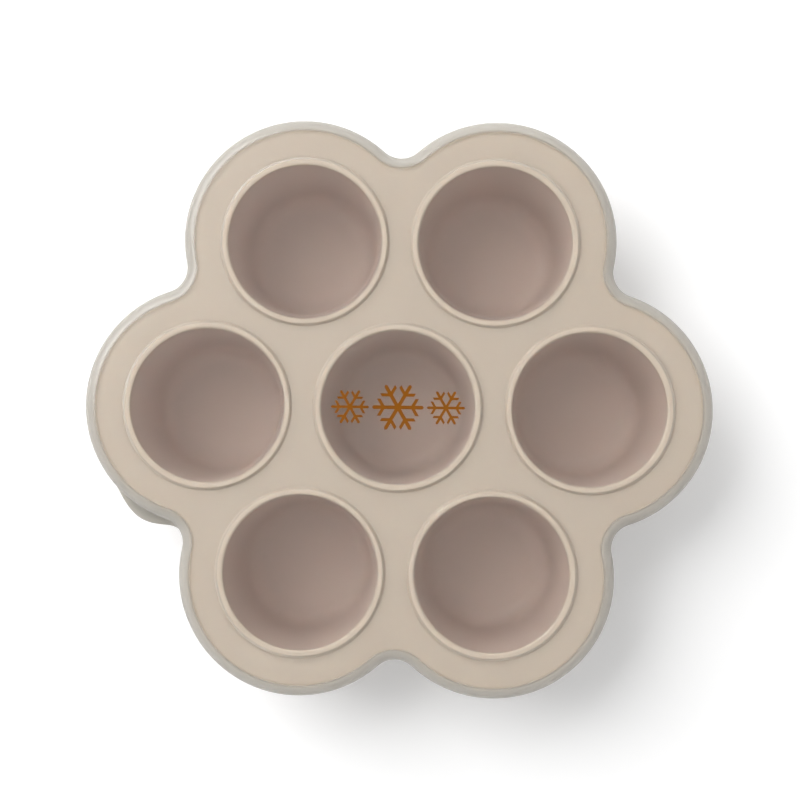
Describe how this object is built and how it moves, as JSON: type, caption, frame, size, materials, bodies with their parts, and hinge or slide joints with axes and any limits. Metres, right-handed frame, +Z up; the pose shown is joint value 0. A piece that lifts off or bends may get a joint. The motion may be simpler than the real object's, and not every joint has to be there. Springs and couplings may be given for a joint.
{
  "type": "baby food freezer tray",
  "caption": "Flower-shaped silicone freezer tray: round tapered cups hang from a flat deck with a turned-down rim, under a press-on translucent plastic lid.",
  "frame": {"origin": "on the plane that the cups stand on, under the middle of the centre cup", "axes": "+X from the centre cup through the right-hand cup, +Y to the back, +Z up"},
  "size_m": [0.205, 0.1882, 0.045],
  "materials": {
    "silicone": "matte moulded silicone",
    "lid_plastic": "smooth milky translucent plastic"
  },
  "bodies": {
    "tray": {"tray_deck": "silicone", "cup_centre": "silicone", "cup_right": "silicone", "cup_back_right": "silicone", "cup_back_left": "silicone", "cup_left": "silicone", "cup_front_left": "silicone", "cup_front_right": "silicone"},
    "lid": {"lid": "lid_plastic"}
  },
  "joints": [
    {"name": "lid_lift", "type": "slide", "parent": "tray", "child": "lid", "axis": [0, 0, 1], "range_m": [0, 0.06]}
  ]
}
